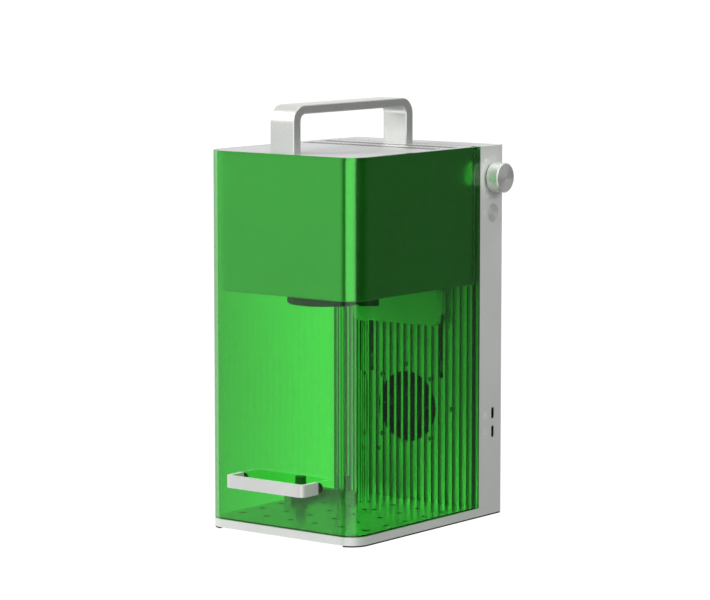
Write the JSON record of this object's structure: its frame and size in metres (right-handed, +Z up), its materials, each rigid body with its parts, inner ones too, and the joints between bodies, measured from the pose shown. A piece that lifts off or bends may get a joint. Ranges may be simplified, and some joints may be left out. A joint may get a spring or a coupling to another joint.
{
  "type": "laser engraver",
  "caption": "Upright desk-top laser engraver: rear column, vented lifting head with a carry handle, bored work plate and a see-through green cover that slides up.",
  "frame": {"origin": "on the floor, under the middle of the body's rectangular footprint (knob and cover handle not counted)", "axes": "+Z up; the cover's front and its handle face -Y; the knob and sockets are on the +X side"},
  "size_m": [0.1648, 0.2186, 0.3442],
  "materials": {
    "frame_aluminium": "bead-blasted, clear anodised",
    "plate_aluminium": "brushed, clear anodised",
    "black_metal": "matt black powder coat",
    "black_plastic": "fine grain",
    "pad_rubber": "matt",
    "green_sheet": "polished, see-through",
    "bright_aluminium": "satin anodised",
    "spun_aluminium": "spun face, bright chamfer",
    "ground_steel": "ground",
    "screw_steel": "black oxide",
    "bronze": "machined",
    "board_green": "solder mask",
    "socket_steel": "plated",
    "lens_glass": "polished, coated",
    "mirror_coat": "gold coated",
    "fan_plastic": "moulded",
    "module_blue": "black anodised"
  },
  "bodies": {
    "base": {"main_frame": "frame_aluminium", "work_plate": "plate_aluminium", "bottom_cover": "black_metal", "base_pad": "pad_rubber", "bottom_cover_screws": "screw_steel", "ribbed_wall": "plate_aluminium", "ribbed_wall_screws": "screw_steel", "cover_rails": "black_plastic", "rear_cover": "frame_aluminium", "rear_cover_screws": "screw_steel", "column_cap": "frame_aluminium", "exhaust_fan_frame": "fan_plastic", "exhaust_duct": "black_plastic", "low_bracket": "plate_aluminium", "top_bracket": "plate_aluminium", "guide_rods": "ground_steel", "lift_motor": "black_metal", "limit_switches": "black_plastic", "main_board": "board_green", "port_board": "board_green", "usb_c_sockets": "socket_steel", "power_inlet": "black_plastic", "knob_encoder": "black_plastic", "power_switch": "black_plastic", "corner_fence": "plate_aluminium"},
    "cover": {"safety_cover": "green_sheet", "cover_handle": "bright_aluminium", "cover_handle_washers": "black_plastic", "cover_handle_screws": "screw_steel"},
    "head": {"head_shell": "frame_aluminium", "head_floor": "plate_aluminium", "head_lid": "frame_aluminium", "carry_handle": "bright_aluminium", "carry_handle_screws": "screw_steel", "lens_ring": "module_blue", "field_lens": "lens_glass", "pointer_module": "module_blue", "galvo_block": "plate_aluminium", "galvo_motor_x": "black_metal", "galvo_motor_y": "black_metal", "diode_laser": "module_blue", "infrared_laser": "module_blue", "beam_combiner": "plate_aluminium", "heat_sink": "module_blue", "head_fan_frame": "fan_plastic", "head_board": "board_green", "hanger_plate": "plate_aluminium", "lift_bridge": "plate_aluminium", "lead_nut": "bronze", "linear_bearings": "ground_steel"},
    "screw": {"lead_screw": "ground_steel"},
    "exhaust_rotor": {"exhaust_fan_rotor": "fan_plastic"},
    "head_rotor": {"head_fan_rotor": "fan_plastic"},
    "mirror_x": {"galvo_mirror_x": "mirror_coat"},
    "mirror_y": {"galvo_mirror_y": "mirror_coat"},
    "spindle": {"knob_spindle": "ground_steel"},
    "knob_cap": {"knob": "spun_aluminium"},
    "button": {"power_button": "frame_aluminium"},
    "thumb_left": {"fence_screw_left": "screw_steel"},
    "thumb_rear": {"fence_screw_rear": "screw_steel"}
  },
  "joints": [
    {"name": "cover_lift", "type": "slide", "parent": "base", "child": "cover", "axis": [0, 0, 1], "range_m": [0, 0.14]},
    {"name": "head_lift", "type": "slide", "parent": "base", "child": "head", "axis": [0, 0, 1], "range_m": [-0.05, 0]},
    {"name": "screw_spin", "type": "hinge", "parent": "base", "child": "screw", "pos_m": [0, 0.08275, 0.1912], "axis": [0, 0, 1], "range_deg": [-10, 4510]},
    {"name": "exhaust_spin", "type": "hinge", "parent": "base", "child": "exhaust_rotor", "pos_m": [0, 0.07775, 0.086], "axis": [0, 1, 0], "continuous": true},
    {"name": "head_fan_spin", "type": "hinge", "parent": "head", "child": "head_rotor", "pos_m": [-0.047, 0.02175, 0.2572], "axis": [0, 0, 1], "continuous": true},
    {"name": "mirror_x_tilt", "type": "hinge", "parent": "head", "child": "mirror_x", "pos_m": [0, -0.02025, 0.2152], "axis": [0, 0, 1], "range_deg": [-12, 12]},
    {"name": "mirror_y_tilt", "type": "hinge", "parent": "head", "child": "mirror_y", "pos_m": [0, -0.03825, 0.2152], "axis": [1, 0, 0], "range_deg": [-12, 12]},
    {"name": "knob_press", "type": "slide", "parent": "base", "child": "spindle", "axis": [-1, 0, 0], "range_m": [0, 0.0008], "stiffness_N_per_m": 1500},
    {"name": "knob_turn", "type": "hinge", "parent": "spindle", "child": "knob_cap", "pos_m": [0.082, 0.08555, 0.2802], "axis": [1, 0, 0], "continuous": true},
    {"name": "button_press", "type": "slide", "parent": "base", "child": "button", "axis": [-1, 0, 0], "range_m": [0, 0.0008], "stiffness_N_per_m": 1500},
    {"name": "thumb_left_turn", "type": "hinge", "parent": "base", "child": "thumb_left", "pos_m": [-0.0625, 0.00735, 0.0212], "axis": [0, 0, 1], "continuous": true},
    {"name": "thumb_rear_turn", "type": "hinge", "parent": "base", "child": "thumb_rear", "pos_m": [-0.0375, 0.03235, 0.0212], "axis": [0, 0, 1], "continuous": true}
  ],
  "couplings": [
    {"joint": "screw_spin", "follows": "head_lift", "rad_per_m": -1570.8}
  ]
}
